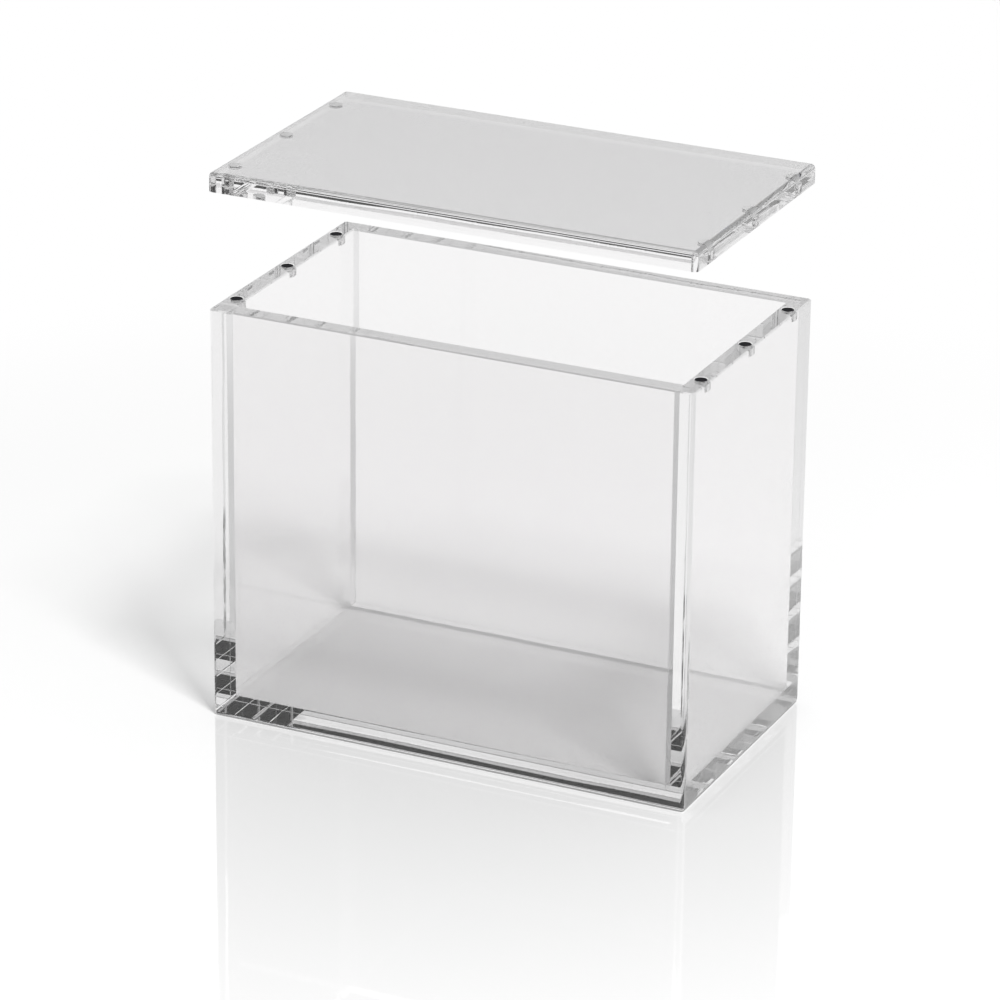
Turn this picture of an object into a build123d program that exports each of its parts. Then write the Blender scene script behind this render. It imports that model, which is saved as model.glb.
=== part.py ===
from build123d import *
import os

# Acrylic display case for a sealed box of card packs: a five-panel open box and a loose lid that magnets hold down.
# Millimetres, +Z up. The origin is at the middle of the base's underside, and the front wall faces -Y.
# The lid is drawn lifted straight above the rim.

# Space inside the walls
inner_width = 146.0
inner_depth = 78.0
inner_height = 127.0

# Acrylic sheet
wall_thickness = 6.0
base_thickness = 6.0
lid_thickness = 6.0

# Polished edges
case_round = 1.2  # the case's upright corners and the base's lower rim
lid_round = 1.5   # the lid's upright corners and upper rim
rim_break = 0.4   # bevel along the inner and outer edges of the case's rim

# Height of the lid's underside above the rim, as drawn
lid_lift = 37.0

# Disc magnets and their blind holes
magnet_diameter = 4.0
magnet_height = 3.0
magnet_rim_round = 0.15
hole_clearance = 0.1        # all round the magnet
magnet_recess = 0.1         # a magnet's face lies this far under the acrylic's face
magnet_end_distance = 12.0  # from the case's front or back face to the nearest magnets' centres

# Worked out from the sizes above
outer_width = inner_width + 2 * wall_thickness
outer_depth = inner_depth + 2 * wall_thickness
rim_z = base_thickness + inner_height
lid_z = rim_z + lid_lift
side_wall_x = (outer_width - wall_thickness) / 2
end_wall_y = (outer_depth - wall_thickness) / 2
hole_radius = magnet_diameter / 2 + hole_clearance
hole_depth = magnet_height + magnet_recess

# Every magnet's place: one row along the middle of each side wall's top edge
SIDES = {"left": -side_wall_x, "right": side_wall_x}
outer_magnet_y = outer_depth / 2 - magnet_end_distance
ROW = {"front": -outer_magnet_y, "middle": 0.0, "back": outer_magnet_y}


def panel(size_x, size_y, size_z, centre_x, centre_y, bottom_z):
    """One rectangular piece of sheet, placed by the middle of its underside."""
    block = Box(size_x, size_y, size_z, align=(Align.CENTER, Align.CENTER, Align.MIN))
    return Pos(centre_x, centre_y, bottom_z) * block


def mouth_break():
    """What the bevel round the mouth's inner edge cuts away from the four walls."""
    mouth = Pos(0, 0, rim_z - rim_break) * Rectangle(inner_width, inner_depth)
    return extrude(mouth, rim_break, taper=-45)


def disc(radius, height, x, y, bottom_z):
    """An upright cylinder, placed by the middle of its underside."""
    return Pos(x, y, bottom_z) * Cylinder(radius, height, align=(Align.CENTER, Align.CENTER, Align.MIN))


def base_plate():
    """The plate that all four walls stand on, with its lower rim rounded."""
    plate = panel(outer_width, outer_depth, base_thickness, 0, 0, 0)
    lower_rim = plate.faces().sort_by(Axis.Z)[0].edges()
    return fillet(plate.edges().filter_by(Axis.Z) + lower_rim, case_round)


def side_wall(x):
    """A side wall runs the case's full depth and holds a row of magnets in its top edge."""
    wall = panel(wall_thickness, outer_depth, inner_height, x, 0, base_thickness)
    uprights = wall.edges().filter_by(Axis.Z).sort_by(Axis.X)
    wall = fillet(uprights[2:] if x > 0 else uprights[:2], case_round)
    rim_edges = wall.faces().sort_by(Axis.Z)[-1].edges().sort_by(Axis.X)
    wall = chamfer(rim_edges[1:] if x > 0 else rim_edges[:-1], rim_break) - mouth_break()
    for y in ROW.values():
        wall -= disc(hole_radius, hole_depth, x, y, rim_z - hole_depth)
    return wall


def end_wall(y):
    """The front and back walls fit between the side walls."""
    wall = panel(inner_width, wall_thickness, inner_height, 0, y, base_thickness)
    rim_edges = wall.faces().sort_by(Axis.Z)[-1].edges().sort_by(Axis.Y)
    return chamfer(rim_edges[-1] if y > 0 else rim_edges[0], rim_break) - mouth_break()


def lid_plate():
    """The lid covers the case's whole top, with its upper rim rounded and blind holes in its underside."""
    plate = panel(outer_width, outer_depth, lid_thickness, 0, 0, lid_z)
    upper_rim = plate.faces().sort_by(Axis.Z)[-1].edges()
    plate = fillet(plate.edges().filter_by(Axis.Z) + upper_rim, lid_round)
    for x in SIDES.values():
        for y in ROW.values():
            plate -= disc(hole_radius, hole_depth, x, y, lid_z)
    return plate


def magnet(x, y, bottom_z):
    """A plated disc with softly rounded rims, standing on or hanging from the flat end of its hole."""
    body = disc(magnet_diameter / 2, magnet_height, x, y, bottom_z)
    return fillet(body.edges().filter_by(GeomType.CIRCLE), magnet_rim_round)


def case_parts():
    """Every piece, by node name."""
    parts = {
        "base_plate": base_plate(),
        "left_wall": side_wall(SIDES["left"]),
        "right_wall": side_wall(SIDES["right"]),
        "front_wall": end_wall(-end_wall_y),
        "back_wall": end_wall(end_wall_y),
        "lid_plate": lid_plate(),
    }
    for side, x in SIDES.items():
        for place, y in ROW.items():
            parts[f"case_magnet_{side}_{place}"] = magnet(x, y, rim_z - hole_depth)
            parts[f"lid_magnet_{side}_{place}"] = magnet(x, y, lid_z + magnet_recess)
    return parts


os.makedirs("parts", exist_ok=True)
for name, shape in case_parts().items():
    export_step(shape, f"parts/{name}.step")
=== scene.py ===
import math

import bmesh
import bpy
from mathutils import Matrix, Vector

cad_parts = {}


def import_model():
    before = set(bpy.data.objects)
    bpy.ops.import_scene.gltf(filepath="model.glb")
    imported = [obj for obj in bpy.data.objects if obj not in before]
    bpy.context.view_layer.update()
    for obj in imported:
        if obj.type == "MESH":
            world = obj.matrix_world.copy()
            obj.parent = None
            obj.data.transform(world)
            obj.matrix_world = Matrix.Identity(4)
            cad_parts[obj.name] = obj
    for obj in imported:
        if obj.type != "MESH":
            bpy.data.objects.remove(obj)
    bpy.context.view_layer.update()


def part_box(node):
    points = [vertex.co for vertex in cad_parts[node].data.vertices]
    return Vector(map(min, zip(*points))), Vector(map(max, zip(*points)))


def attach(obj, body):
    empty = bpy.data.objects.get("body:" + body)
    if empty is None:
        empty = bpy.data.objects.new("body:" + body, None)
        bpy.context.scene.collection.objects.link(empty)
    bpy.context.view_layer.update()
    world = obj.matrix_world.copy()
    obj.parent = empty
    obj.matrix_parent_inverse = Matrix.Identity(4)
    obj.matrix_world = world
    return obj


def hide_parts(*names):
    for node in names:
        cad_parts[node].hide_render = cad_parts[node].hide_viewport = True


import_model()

MM = 0.001


def corners(node):
    """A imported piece's lowest and highest corners."""
    return [Vector(corner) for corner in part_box(node)]


# The case's own planes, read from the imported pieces
BASE_LOW, BASE_HIGH = corners("base_plate")
WALL_LOW, WALL_HIGH = corners("right_wall")
OUTER_X, OUTER_Y = BASE_HIGH.x, BASE_HIGH.y
INNER_X, INNER_Y = WALL_LOW.x, -corners("front_wall")[1].y
BASE_TOP, RIM = BASE_HIGH.z, WALL_HIGH.z

# Edges
CASE_ROUND = 1.2 * MM
LID_ROUND = 1.5 * MM
ROUND_STEPS = 16
RIM_BREAK = 0.4 * MM
SEAM_BREAK = 0.12 * MM
SEAM_STEPS = 2

# Magnets and their blind holes
HOLE_CLEARANCE = 0.1 * MM
HOLE_RECESS = 0.1 * MM
GLUE_LAYER = 0.03 * MM
DRILL_OVERRUN = 1.0 * MM
MAGNET_ROUND = 0.15 * MM
MAGNET_ROUND_STEPS = 4
CIRCLE_STEPS = 96

SIDES = ("left", "right")
PLACES = ("front", "middle", "back")

# How near counts as the same place, and how square counts as flat or upright
SAME_PLACE = 0.0001 * MM
SAME_CIRCLE = 0.001 * MM
SQUARE = 0.999

# The main lamp
KEY_PLACE = (0.64, -0.55, 1.56)
KEY_SIZE = 0.32
KEY_WATTS = 25.0
CASE_MIDDLE = (0.0, 0.0, 0.08)

# The camera, with its turn in degrees and its lens and sensor in millimetres
CAMERA_PLACE = (0.6183, -1.3283, 0.6669)
CAMERA_TURN = (67.809, -0.565, 25.306)
CAMERA_LENS = 186.769
CAMERA_SENSOR = 36.0
CAMERA_REACH = 50.0

# The acrylic and the nickel. The waves are the height of the marks on each
ACRYLIC_IOR = 1.49
ACRYLIC_BODY = (0.5, 0.505, 0.51)
ACRYLIC_DENSITY = 0.8
ACRYLIC_WAVES = 0.06 * MM
NICKEL_WAVES = 0.004 * MM

# The table: where its sheen fades and where it turns plain white, by the distance from the case's middle
TABLE_HALF_WIDTH = 8.0
TABLE_DROP = 0.3 * MM
TABLE_COLOUR = (0.9, 0.9, 0.9)
SHEEN_ROUGHNESS = 0.02
SHEEN_FADE = (0.07, 0.3)
SHEEN_SHARE = (0.28, 0.1)
SHEEN_UNDER_BASE = 0.3
WHITE_FADE = (0.2, 0.4)

# Strengths of light, where 1 is white
TABLE_GLOW = 0.12
FAR_TABLE_ON_DULL = 0.7
STUDIO_ON_DULL = 0.4
LAMP_PANEL = 1.2
EVEN_TABLE = 0.9
EVEN_STUDIO = 0.44

# The lamp's panel as the acrylic mirrors it, by the cosine of the angle from its middle
LAMP_PANEL_EDGE = (0.93, 0.96)

# How many times light turns inside the acrylic before its colours wash out, it turns even, and it is let out
FRINGE_BOUNCES = 4
EVEN_TABLE_BOUNCES = (5, 11)
EVEN_STUDIO_BOUNCES = (9, 20)
HELD_BOUNCES = 20
MOST_BOUNCES = 32

# The studio by height, from 0 straight down through 0.5 at the horizon to 1 straight up: a white sweep,
# a thin rainbow fringe along its upper edge, a dark wall above it and a grey ceiling
STUDIO_HEIGHTS = (
    (0.5, (1.0, 1.0, 1.0)),
    (0.545, (1.0, 1.0, 1.0)),
    (0.552, (1.0, 0.72, 0.4)),
    (0.557, (0.2, 0.32, 0.7)),
    (0.565, (0.04, 0.04, 0.045)),
    (0.75, (0.04, 0.04, 0.045)),
    (0.77, (0.45, 0.45, 0.45)),
    (1.0, (0.5, 0.5, 0.5)),
)


# Shapes

def block(low, high):
    """A plain rectangular solid between two corners."""
    low, high = Vector(low), Vector(high)
    bm = bmesh.new()
    bmesh.ops.create_cube(bm, size=1.0)
    bmesh.ops.scale(bm, vec=high - low, verts=bm.verts)
    bmesh.ops.translate(bm, vec=(low + high) / 2, verts=bm.verts)
    return bm


def is_upright(edge):
    along = (edge.verts[1].co - edge.verts[0].co).normalized()
    return abs(along.z) > SQUARE


def lies_at(edge, axis, value):
    """Whether both ends of an edge lie in one plane."""
    return all(abs(v.co[axis] - value) < SAME_PLACE for v in edge.verts)


def round_edges(bm, edges, radius, steps):
    bmesh.ops.bevel(
        bm, geom=list(edges), offset=radius, offset_type="OFFSET", segments=steps,
        profile=0.5, affect="EDGES", clamp_overlap=True, material=-1,
    )


def finished_object(name, bm, materials):
    """The piece's object, at the origin, with its place in its mesh."""
    bmesh.ops.remove_doubles(bm, verts=bm.verts, dist=SAME_PLACE)
    bmesh.ops.recalc_face_normals(bm, faces=bm.faces)
    mesh = bpy.data.meshes.new(name)
    bm.to_mesh(mesh)
    bm.free()
    for material in materials:
        mesh.materials.append(material)
    piece = bpy.data.objects.new(name, mesh)
    bpy.context.scene.collection.objects.link(piece)
    return piece


def cut_away(bm, cutter):
    """Takes the cutter's solid away from a piece and gives the piece back as a new bmesh."""
    piece = finished_object("cut_piece", bm, [])
    tool = finished_object("cut_tool", cutter, [])
    cut = piece.modifiers.new("cut", "BOOLEAN")
    cut.operation = "DIFFERENCE"
    cut.solver = "EXACT"
    cut.object = tool
    result = bmesh.new()
    result.from_object(piece, bpy.context.evaluated_depsgraph_get())
    for scrap in (piece, tool):
        mesh = scrap.data
        bpy.data.objects.remove(scrap)
        bpy.data.meshes.remove(mesh)
    return result


def split_at(bm, axis, value):
    """Splits every face that crosses one plane."""
    normal = Vector((0, 0, 0))
    normal[axis] = 1.0
    bmesh.ops.bisect_plane(
        bm, geom=bm.verts[:] + bm.edges[:] + bm.faces[:], dist=SAME_PLACE,
        plane_co=normal * value, plane_no=normal,
    )


def mouth_cutter():
    """The shallow funnel that breaks the mouth's inner edge."""
    bm = block((-INNER_X, -INNER_Y, RIM - RIM_BREAK), (INNER_X, INNER_Y, RIM + RIM_BREAK))
    wider = ((INNER_X + 2 * RIM_BREAK) / INNER_X, (INNER_Y + 2 * RIM_BREAK) / INNER_Y, 1.0)
    bmesh.ops.scale(bm, vec=wider, verts=[v for v in bm.verts if v.co.z > RIM])
    return bm


def hole_of(node):
    """The middle, radius and depth of one magnet's blind hole."""
    low, high = corners(node)
    radius = (high.x - low.x) / 2 + HOLE_CLEARANCE
    depth = high.z - low.z + HOLE_RECESS + GLUE_LAYER
    return (low + high) / 2, radius, depth


def drills_for(nodes, face_z, outward):
    """A drill for each magnet's blind hole. outward is 1 where the holes open upward and -1 downward."""
    bm = bmesh.new()
    for node in nodes:
        centre, radius, depth = hole_of(node)
        mid_z = face_z + outward * (DRILL_OVERRUN - depth) / 2
        bmesh.ops.create_cone(
            bm, cap_ends=True, segments=CIRCLE_STEPS, radius1=radius, radius2=radius,
            depth=depth + DRILL_OVERRUN, matrix=Matrix.Translation((centre.x, centre.y, mid_z)),
        )
    return bm


# Materials

def new_material(name):
    material = bpy.data.materials.new(name)
    material.use_nodes = True
    nodes, links = material.node_tree.nodes, material.node_tree.links
    nodes.clear()
    return material, nodes, links


def maths(nodes, links, operation, *values):
    """A Math node fed by sockets or plain numbers."""
    node = nodes.new("ShaderNodeMath")
    node.operation = operation
    for n, value in enumerate(values):
        if isinstance(value, (int, float)):
            node.inputs[n].default_value = value
        else:
            links.new(value, node.inputs[n])
    return node.outputs[0]


def vector_maths(nodes, links, operation, first, second=None):
    """A Vector Math node fed by a socket and, where it needs one, a plain vector."""
    node = nodes.new("ShaderNodeVectorMath")
    node.operation = operation
    links.new(first, node.inputs[0])
    if second is not None:
        node.inputs[1].default_value = second
    return node


def ranged(nodes, links, value, start_end, first_last=(0.0, 1.0), smooth=False):
    """Turns a value that runs between one pair of numbers into one that runs between another."""
    node = nodes.new("ShaderNodeMapRange")
    if smooth:
        node.interpolation_type = "SMOOTHSTEP"
    node.inputs["From Min"].default_value, node.inputs["From Max"].default_value = start_end
    node.inputs["To Min"].default_value, node.inputs["To Max"].default_value = first_last
    links.new(value, node.inputs["Value"])
    return node.outputs[0]


def mixed(nodes, links, factor, first, second):
    """A Mix Shader's output."""
    mix = nodes.new("ShaderNodeMixShader")
    links.new(factor, mix.inputs[0])
    links.new(first, mix.inputs[1])
    links.new(second, mix.inputs[2])
    return mix.outputs[0]


def surface_marks():
    """Slow waviness and fine scratches, as a height and as a mask, by the piece's own coordinates. On the
    magnets' sides the mask also places painted dark reflections in streaks.
    """
    group = bpy.data.node_groups.new("surface_marks", "ShaderNodeTree")
    for name, value in (("Wave Scale", 30.0), ("Scratch Scale", 900.0), ("Scratch Share", 0.2)):
        socket = group.interface.new_socket(name=name, in_out="INPUT", socket_type="NodeSocketFloat")
        socket.default_value = value
    for name in ("Height", "Mask"):
        group.interface.new_socket(name=name, in_out="OUTPUT", socket_type="NodeSocketFloat")
    nodes, links = group.nodes, group.links
    given = nodes.new("NodeGroupInput")
    result = nodes.new("NodeGroupOutput")
    coords = nodes.new("ShaderNodeTexCoord")
    waves = nodes.new("ShaderNodeTexNoise")
    waves.inputs["Detail"].default_value = 1.0
    links.new(coords.outputs["Object"], waves.inputs["Vector"])
    links.new(given.outputs["Wave Scale"], waves.inputs["Scale"])
    drawn_out = nodes.new("ShaderNodeMapping")
    drawn_out.inputs["Rotation"].default_value = (0.4, 0.7, 0.5)
    drawn_out.inputs["Scale"].default_value = (1.0, 0.04, 0.3)
    links.new(coords.outputs["Object"], drawn_out.inputs["Vector"])
    scratches = nodes.new("ShaderNodeTexNoise")
    scratches.inputs["Detail"].default_value = 2.0
    links.new(drawn_out.outputs[0], scratches.inputs["Vector"])
    links.new(given.outputs["Scratch Scale"], scratches.inputs["Scale"])
    sharpened = ranged(nodes, links, scratches.outputs[0], (0.58, 0.7))
    depth = maths(nodes, links, "MULTIPLY", sharpened, given.outputs["Scratch Share"])
    links.new(maths(nodes, links, "SUBTRACT", waves.outputs[0], depth), result.inputs["Height"])
    links.new(sharpened, result.inputs["Mask"])
    return group


def place_marks(nodes, wave_scale, scratch_scale, scratch_share):
    marks = nodes.new("ShaderNodeGroup")
    marks.node_tree = MARKS
    marks.inputs["Wave Scale"].default_value = wave_scale
    marks.inputs["Scratch Scale"].default_value = scratch_scale
    marks.inputs["Scratch Share"].default_value = scratch_share
    return marks


def bump_from(nodes, links, height, distance, shader):
    bump = nodes.new("ShaderNodeBump")
    bump.inputs["Strength"].default_value = 1.0
    bump.inputs["Distance"].default_value = distance
    links.new(height, bump.inputs["Height"])
    links.new(bump.outputs[0], shader.inputs["Normal"])


def acrylic(name, tint, cast):
    """Clear cast acrylic. cast is the share of lamp and dull light that each face lets straight through."""
    material, nodes, links = new_material(name)
    out = nodes.new("ShaderNodeOutputMaterial")
    clear = nodes.new("ShaderNodeBsdfPrincipled")
    clear.inputs["Base Color"].default_value = (*tint, 1.0)
    clear.inputs["Roughness"].default_value = 0.0
    clear.inputs["IOR"].default_value = ACRYLIC_IOR
    clear.inputs["Transmission Weight"].default_value = 1.0
    marks = place_marks(nodes, wave_scale=28.0, scratch_scale=500.0, scratch_share=0.02)
    bump_from(nodes, links, marks.outputs["Height"], ACRYLIC_WAVES, clear)
    shade = nodes.new("ShaderNodeBsdfTransparent")
    shade.inputs["Color"].default_value = (cast, cast, cast, 1.0)
    open_way = nodes.new("ShaderNodeBsdfTransparent")
    path = nodes.new("ShaderNodeLightPath")
    long_held = maths(nodes, links, "GREATER_THAN", path.outputs["Ray Depth"], HELD_BOUNCES)
    let_out = mixed(nodes, links, long_held, clear.outputs[0], open_way.outputs[0])
    soft = mixed(nodes, links, path.outputs["Is Diffuse Ray"], let_out, shade.outputs[0])
    lamps = mixed(nodes, links, path.outputs["Is Shadow Ray"], soft, shade.outputs[0])
    links.new(lamps, out.inputs["Surface"])
    body = nodes.new("ShaderNodeVolumeAbsorption")
    body.inputs["Color"].default_value = (*ACRYLIC_BODY, 1.0)
    body.inputs["Density"].default_value = ACRYLIC_DENSITY
    links.new(body.outputs[0], out.inputs["Volume"])
    return material


def bonded_face():
    """The faces where two panels are joined: light passes them as if the acrylic went on."""
    material, nodes, links = new_material("bonded_face")
    out = nodes.new("ShaderNodeOutputMaterial")
    joined = nodes.new("ShaderNodeBsdfPrincipled")
    joined.inputs["Base Color"].default_value = (1.0, 1.0, 1.0, 1.0)
    joined.inputs["Alpha"].default_value = 0.0
    links.new(joined.outputs[0], out.inputs["Surface"])
    return material


def nickel(name, colour, wear_and_painted_reflection, metallic, roughness, stain_and_reflection_scale):
    """Plated nickel. The second colour is the colour in its scratches and stains, and on the magnets' sides
    it is painted dark reflection, streaked along them.
    """
    material, nodes, links = new_material(name)
    out = nodes.new("ShaderNodeOutputMaterial")
    metal = nodes.new("ShaderNodeBsdfPrincipled")
    metal.inputs["Metallic"].default_value = metallic
    metal.inputs["Roughness"].default_value = roughness
    marks = place_marks(nodes, wave_scale=900.0, scratch_scale=stain_and_reflection_scale, scratch_share=0.3)
    tone = nodes.new("ShaderNodeMix")
    tone.data_type = "RGBA"
    tone.inputs["A"].default_value = (*colour, 1.0)
    tone.inputs["B"].default_value = (*wear_and_painted_reflection, 1.0)
    links.new(marks.outputs["Mask"], tone.inputs["Factor"])
    links.new(tone.outputs["Result"], metal.inputs["Base Color"])
    bump_from(nodes, links, marks.outputs["Height"], NICKEL_WAVES, metal)
    links.new(metal.outputs[0], out.inputs["Surface"])
    return material


MARKS = surface_marks()
BOND = bonded_face()

# A sheet's materials: its two wide faces, its bonded or glued faces, and its narrow edges
BONDED, EDGE = 1, 2
WALL_TINT = (0.925, 0.92, 0.922)
WALL_FINISHES = (
    acrylic("wall_sheet", WALL_TINT, cast=0.88),
    BOND,
    acrylic("wall_edge", WALL_TINT, cast=0.35),
)
LEVEL_TINT = (0.975, 0.97, 0.972)
LEVEL_FINISHES = (
    acrylic("level_sheet", LEVEL_TINT, cast=0.96),
    BOND,
    acrylic("level_edge", LEVEL_TINT, cast=0.35),
)

# A magnet's materials: its open end, its glued end, and its side, whose dark streaks are painted reflections
GLUED, PAINTED_REFLECTIONS = 1, 2
MAGNET_FINISHES = (
    nickel(
        "bright_nickel", colour=(0.62, 0.61, 0.6), wear_and_painted_reflection=(0.5, 0.49, 0.48),
        metallic=1.0, roughness=0.0, stain_and_reflection_scale=6000.0,
    ),
    nickel(
        "glued_nickel", colour=(0.7, 0.7, 0.7), wear_and_painted_reflection=(0.62, 0.62, 0.61),
        metallic=0.0, roughness=0.5, stain_and_reflection_scale=2500.0,
    ),
    # The side: bright nickel with dark streaks painted in as reflections of dark surroundings
    nickel(
        "nickel_with_painted_reflections", colour=(0.7, 0.7, 0.7), wear_and_painted_reflection=(0.12, 0.12, 0.12),
        metallic=1.0, roughness=0.08, stain_and_reflection_scale=1500.0,
    ),
)


def mark_edges(bm, axis):
    """Gives a sheet's narrow faces the edge finish. axis is the way through the sheet."""
    for face in bm.faces:
        if abs(face.normal[axis]) < SQUARE:
            face.material_index = EDGE


def mark_bond(bm, is_bonded):
    for face in bm.faces:
        if is_bonded(face.normal, face.calc_center_median()):
            face.material_index = BONDED


def mark_holes(bm, nodes):
    """Gives the walls and ends of the magnets' holes the bonded finish, because clear glue fills them."""
    for node in nodes:
        centre, radius, depth = hole_of(node)

        def inside(point):
            return math.hypot(point.x - centre.x, point.y - centre.y) < radius + SAME_CIRCLE

        for face in bm.faces:
            middle = face.calc_center_median()
            if inside(middle) and abs(middle.z - centre.z) < depth / 2 + HOLE_RECESS:
                if all(inside(v.co) for v in face.verts):
                    face.material_index = BONDED


# Pieces

def base_plate():
    bm = block(BASE_LOW, BASE_HIGH)
    outer = [e for e in bm.edges if is_upright(e) or lies_at(e, 2, BASE_LOW.z)]
    round_edges(bm, outer, CASE_ROUND, ROUND_STEPS)
    round_edges(bm, [e for e in bm.edges if lies_at(e, 2, BASE_TOP)], SEAM_BREAK, SEAM_STEPS)
    for sign in (-1, 1):
        split_at(bm, 0, sign * (INNER_X + SEAM_BREAK))
        split_at(bm, 1, sign * (INNER_Y + SEAM_BREAK))
    mark_edges(bm, 2)
    mark_bond(bm, lambda n, c: n.z > SQUARE and (abs(c.x) > INNER_X or abs(c.y) > INNER_Y))
    return bm


def side_wall(sign, side):
    """A side wall with its rim broken, its bonded edges eased and its magnet holes drilled."""
    bm = block(
        (min(sign * INNER_X, sign * OUTER_X), -OUTER_Y, BASE_TOP),
        (max(sign * INNER_X, sign * OUTER_X), OUTER_Y, RIM),
    )
    outer_corners = [e for e in bm.edges if is_upright(e) and lies_at(e, 0, sign * OUTER_X)]
    round_edges(bm, outer_corners, CASE_ROUND, ROUND_STEPS)
    rim = [e for e in bm.edges if lies_at(e, 2, RIM) and not lies_at(e, 0, sign * INNER_X)]
    round_edges(bm, rim, RIM_BREAK, 1)
    seams = [
        e for e in bm.edges
        if lies_at(e, 2, BASE_TOP)
        or is_upright(e) and lies_at(e, 0, sign * INNER_X) and abs(e.verts[0].co.y) > INNER_Y
    ]
    round_edges(bm, seams, SEAM_BREAK, SEAM_STEPS)
    bm = cut_away(bm, mouth_cutter())
    magnets = [f"case_magnet_{side}_{place}" for place in PLACES]
    bm = cut_away(bm, drills_for(magnets, RIM, 1))
    split_at(bm, 1, INNER_Y + SEAM_BREAK)
    split_at(bm, 1, -INNER_Y - SEAM_BREAK)
    split_at(bm, 2, RIM - RIM_BREAK)
    mark_edges(bm, 0)
    mark_bond(
        bm,
        lambda n, c: n.z < -SQUARE and c.z < BASE_TOP + SEAM_BREAK
        or n.x * sign < -SQUARE and abs(c.y) > INNER_Y and c.z < RIM - RIM_BREAK,
    )
    mark_holes(bm, magnets)
    return bm


def end_wall(sign):
    """The front or back wall, which stands between the side walls."""
    bm = block(
        (-INNER_X, min(sign * INNER_Y, sign * OUTER_Y), BASE_TOP),
        (INNER_X, max(sign * INNER_Y, sign * OUTER_Y), RIM),
    )
    outer_rim = [e for e in bm.edges if lies_at(e, 2, RIM) and lies_at(e, 1, sign * OUTER_Y)]
    round_edges(bm, outer_rim, RIM_BREAK, 1)
    bm = cut_away(bm, mouth_cutter())
    seams = [
        e for e in bm.edges
        if lies_at(e, 2, BASE_TOP) or lies_at(e, 0, INNER_X) or lies_at(e, 0, -INNER_X)
    ]
    round_edges(bm, seams, SEAM_BREAK, SEAM_STEPS)
    mark_edges(bm, 1)
    mark_bond(bm, lambda n, c: n.z < -SQUARE or abs(n.x) > SQUARE)
    return bm


def lid_plate():
    low, high = corners("lid_plate")
    bm = block(low, high)
    outer = [e for e in bm.edges if is_upright(e) or lies_at(e, 2, high.z)]
    round_edges(bm, outer, LID_ROUND, ROUND_STEPS)
    magnets = [f"lid_magnet_{side}_{place}" for side in SIDES for place in PLACES]
    bm = cut_away(bm, drills_for(magnets, low.z, -1))
    mark_edges(bm, 2)
    mark_holes(bm, magnets)
    return bm


def magnet(node, open_end):
    """A plated disc with softly rounded rims. open_end is 1 where it faces upward and -1 downward."""
    low, high = corners(node)
    radius = (high.x - low.x) / 2
    bm = bmesh.new()
    bmesh.ops.create_cone(
        bm, cap_ends=True, segments=CIRCLE_STEPS, radius1=radius, radius2=radius,
        depth=high.z - low.z, matrix=Matrix.Translation((low + high) / 2),
    )
    rims = [e for e in bm.edges if lies_at(e, 2, low.z) or lies_at(e, 2, high.z)]
    round_edges(bm, rims, MAGNET_ROUND, MAGNET_ROUND_STEPS)
    bmesh.ops.recalc_face_normals(bm, faces=bm.faces)
    for face in bm.faces:
        rises = face.normal.z * open_end
        face.smooth = abs(rises) < SQUARE
        if rises < -0.5:
            face.material_index = GLUED
        # The side gets the nickel with painted dark reflections
        elif rises < 0.1:
            face.material_index = PAINTED_REFLECTIONS
    return bm


def add_piece(name, node, bm, materials, body):
    piece = finished_object(name, bm, materials)
    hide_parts(node)
    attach(piece, body)


for node, bm, finishes, body in (
    ("base_plate", base_plate(), LEVEL_FINISHES, "case"),
    ("left_wall", side_wall(-1, "left"), WALL_FINISHES, "case"),
    ("right_wall", side_wall(1, "right"), WALL_FINISHES, "case"),
    ("front_wall", end_wall(-1), WALL_FINISHES, "case"),
    ("back_wall", end_wall(1), WALL_FINISHES, "case"),
    ("lid_plate", lid_plate(), LEVEL_FINISHES, "lid"),
):
    add_piece("clear_" + node, node, bm, finishes, body)
for body, open_end in (("case", 1), ("lid", -1)):
    for side in SIDES:
        for place in PLACES:
            node = f"{body}_magnet_{side}_{place}"
            disc = magnet(node, open_end)
            add_piece("plated_" + node, node, disc, MAGNET_FINISHES, body)


# Stage

def share_of_long_paths(nodes, links, path, bounces):
    """Rises from 0 to 1 as light turns more and more often inside the acrylic."""
    return ranged(nodes, links, path.outputs["Ray Depth"], bounces)


def plain_glow(nodes, strength):
    glow = nodes.new("ShaderNodeEmission")
    glow.inputs["Strength"].default_value = strength
    return glow.outputs[0]


def plain_light(nodes, strength):
    """White light of one strength from every direction."""
    light = nodes.new("ShaderNodeBackground")
    light.inputs["Color"].default_value = (1.0, 1.0, 1.0, 1.0)
    light.inputs["Strength"].default_value = strength
    return light.outputs[0]


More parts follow.
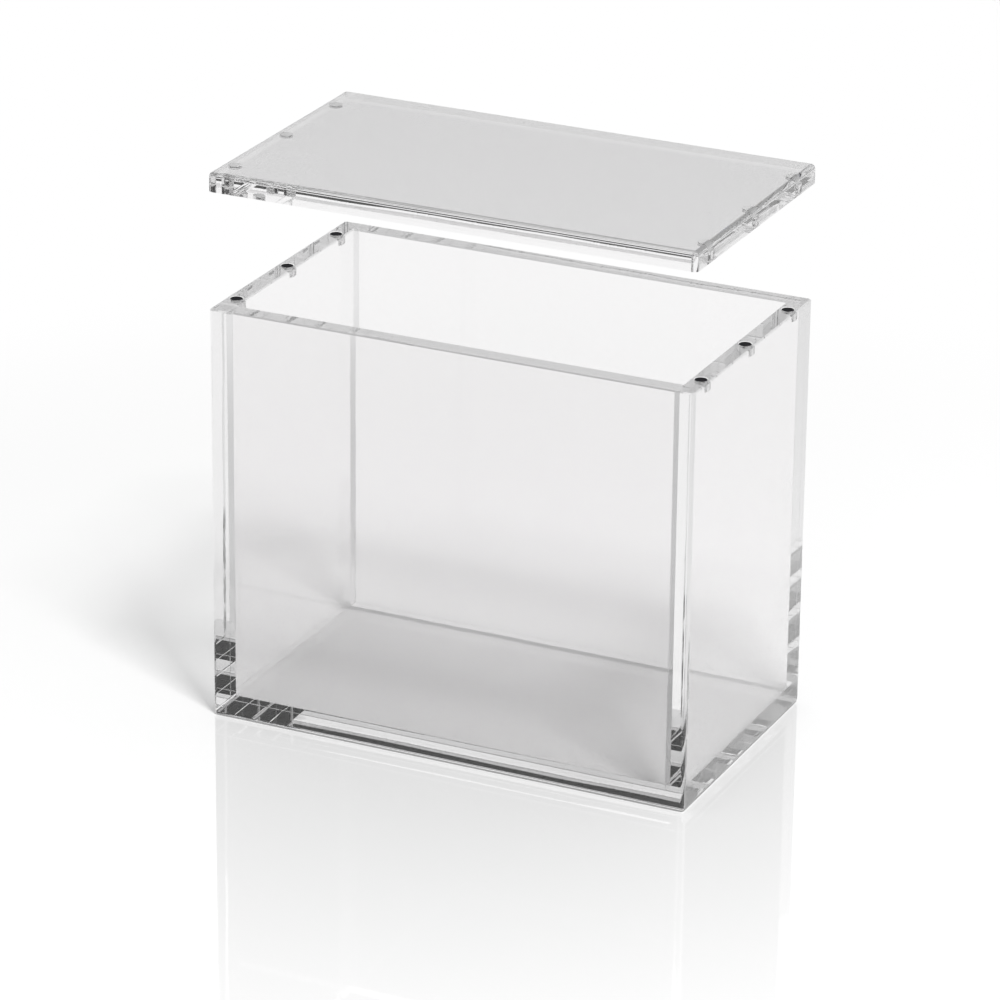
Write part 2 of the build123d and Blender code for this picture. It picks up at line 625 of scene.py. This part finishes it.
def floor():
    """A wide white table with a soft sheen, lit near the case and plain white further off."""
    bm = bmesh.new()
    just_below = Matrix.Translation((0, 0, -TABLE_DROP))
    bmesh.ops.create_grid(bm, x_segments=1, y_segments=1, size=TABLE_HALF_WIDTH, matrix=just_below)
    material, nodes, links = new_material("table")
    out = nodes.new("ShaderNodeOutputMaterial")
    path = nodes.new("ShaderNodeLightPath")
    place = nodes.new("ShaderNodeTexCoord").outputs["Object"]
    from_case = vector_maths(nodes, links, "LENGTH", place).outputs["Value"]

    diffuse = nodes.new("ShaderNodeBsdfDiffuse")
    diffuse.inputs["Color"].default_value = (*TABLE_COLOUR, 1.0)
    lit = nodes.new("ShaderNodeAddShader")
    links.new(diffuse.outputs[0], lit.inputs[0])
    links.new(plain_glow(nodes, TABLE_GLOW), lit.inputs[1])

    sheen = nodes.new("ShaderNodeBsdfGlossy")
    sheen.inputs["Roughness"].default_value = SHEEN_ROUGHNESS
    fade = ranged(nodes, links, from_case, SHEEN_FADE, SHEEN_SHARE)
    # Under the base the table has less sheen than beside it
    across = vector_maths(nodes, links, "ABSOLUTE", place).outputs["Vector"]
    in_bases = vector_maths(nodes, links, "DIVIDE", across, (OUTER_X, OUTER_Y, 1.0)).outputs["Vector"]
    sides = nodes.new("ShaderNodeSeparateXYZ")
    links.new(in_bases, sides.inputs[0])
    furthest = maths(nodes, links, "MAXIMUM", sides.outputs["X"], sides.outputs["Y"])
    beside = maths(nodes, links, "GREATER_THAN", furthest, 1.0)
    uncovered = maths(nodes, links, "MAXIMUM", beside, SHEEN_UNDER_BASE)
    sheen_share = maths(nodes, links, "MULTIPLY", fade, uncovered)
    near = mixed(nodes, links, sheen_share, lit.outputs[0], sheen.outputs[0])

    # What the camera, the metal and the acrylic see far off is full white, and dull surfaces get less of it
    far_white = nodes.new("ShaderNodeEmission")
    in_plain_sight = path.outputs["Is Camera Ray"]
    for kind in ("Is Glossy Ray", "Is Transmission Ray"):
        in_plain_sight = maths(nodes, links, "MAXIMUM", in_plain_sight, path.outputs[kind])
    strength = maths(nodes, links, "MAXIMUM", in_plain_sight, FAR_TABLE_ON_DULL)
    links.new(strength, far_white.inputs["Strength"])
    reach = ranged(nodes, links, from_case, WHITE_FADE, smooth=True)
    table_top = mixed(nodes, links, reach, near, far_white.outputs[0])

    long_paths = share_of_long_paths(nodes, links, path, EVEN_TABLE_BOUNCES)
    settled = mixed(nodes, links, long_paths, table_top, plain_glow(nodes, EVEN_TABLE))
    links.new(settled, out.inputs["Surface"])
    finished_object("table", bm, [material])


def world():
    """A product studio: a white sweep round the case, dark overhead, and even light for everything dull."""
    studio = bpy.data.worlds.new("studio")
    bpy.context.scene.world = studio
    studio.use_nodes = True
    nodes, links = studio.node_tree.nodes, studio.node_tree.links
    nodes.clear()
    out = nodes.new("ShaderNodeOutputWorld")
    path = nodes.new("ShaderNodeLightPath")
    direction = nodes.new("ShaderNodeTexCoord").outputs["Generated"]
    split = nodes.new("ShaderNodeSeparateXYZ")
    links.new(direction, split.inputs[0])
    height = ranged(nodes, links, split.outputs["Z"], (-1.0, 1.0))
    ramp = nodes.new("ShaderNodeValToRGB")
    elements = ramp.color_ramp.elements
    while len(elements) < len(STUDIO_HEIGHTS):
        elements.new(0.5)
    for element, (place, colour) in zip(elements, STUDIO_HEIGHTS):
        element.position = place
        element.color = (*colour, 1.0)
    links.new(height, ramp.inputs[0])
    # The rainbow fringe shows in the nearest edges, and further in it has washed out
    grey = nodes.new("ShaderNodeRGBToBW")
    links.new(ramp.outputs[0], grey.inputs[0])
    fringe = nodes.new("ShaderNodeMix")
    fringe.data_type = "RGBA"
    washed_out = maths(nodes, links, "GREATER_THAN", path.outputs["Ray Depth"], FRINGE_BOUNCES)
    links.new(washed_out, fringe.inputs["Factor"])
    links.new(ramp.outputs[0], fringe.inputs["A"])
    links.new(grey.outputs[0], fringe.inputs["B"])

    # Sharp reflections and the acrylic see the sweep, the ceiling and the lamp's panel
    ceiling = nodes.new("ShaderNodeBackground")
    links.new(fringe.outputs["Result"], ceiling.inputs["Color"])
    key_direction = (Vector(KEY_PLACE) - Vector(CASE_MIDDLE)).normalized()
    towards_key = vector_maths(nodes, links, "DOT_PRODUCT", direction, key_direction).outputs["Value"]
    panel = ranged(nodes, links, towards_key, LAMP_PANEL_EDGE, smooth=True)
    mirrored = mixed(nodes, links, panel, ceiling.outputs[0], plain_light(nodes, LAMP_PANEL))
    dull = plain_light(nodes, STUDIO_ON_DULL)
    sharp_or_dull = mixed(nodes, links, path.outputs["Is Singular Ray"], dull, mirrored)

    # The camera and the table's soft sheen see plain white
    not_sharp = maths(nodes, links, "SUBTRACT", 1.0, path.outputs["Is Singular Ray"])
    satin = maths(nodes, links, "MULTIPLY", path.outputs["Is Glossy Ray"], not_sharp)
    in_plain_sight = maths(nodes, links, "MAXIMUM", path.outputs["Is Camera Ray"], satin)
    seen = mixed(nodes, links, in_plain_sight, sharp_or_dull, plain_light(nodes, 1.0))
    long_paths = share_of_long_paths(nodes, links, path, EVEN_STUDIO_BOUNCES)
    settled = mixed(nodes, links, long_paths, seen, plain_light(nodes, EVEN_STUDIO))
    links.new(settled, out.inputs["Surface"])


def key_lamp():
    """A soft square panel high on the right, which only casts light and isn't seen."""
    lamp = bpy.data.lights.new("key", "AREA")
    lamp.shape = "RECTANGLE"
    lamp.size = lamp.size_y = KEY_SIZE
    lamp.energy = KEY_WATTS
    holder = bpy.data.objects.new("key", lamp)
    bpy.context.scene.collection.objects.link(holder)
    holder.location = KEY_PLACE
    aim = Vector(CASE_MIDDLE) - Vector(KEY_PLACE)
    holder.rotation_euler = aim.to_track_quat("-Z", "Y").to_euler()
    holder.visible_camera = False
    holder.visible_glossy = False
    holder.visible_transmission = False


def camera():
    """The photograph's viewpoint: a long lens from the right, looking down at the case."""
    lens = bpy.data.cameras.new("camera")
    lens.sensor_width = CAMERA_SENSOR
    lens.lens = CAMERA_LENS
    lens.clip_end = CAMERA_REACH
    holder = bpy.data.objects.new("camera", lens)
    bpy.context.scene.collection.objects.link(holder)
    holder.location = CAMERA_PLACE
    holder.rotation_euler = [math.radians(turn) for turn in CAMERA_TURN]
    bpy.context.scene.camera = holder


floor()
world()
key_lamp()
camera()

scene = bpy.context.scene
scene.view_settings.view_transform = "Standard"
scene.cycles.max_bounces = MOST_BOUNCES
scene.cycles.glossy_bounces = MOST_BOUNCES
scene.cycles.transmission_bounces = MOST_BOUNCES
scene.cycles.transparent_max_bounces = 2 * MOST_BOUNCES
scene.cycles.denoising_input_passes = "RGB"
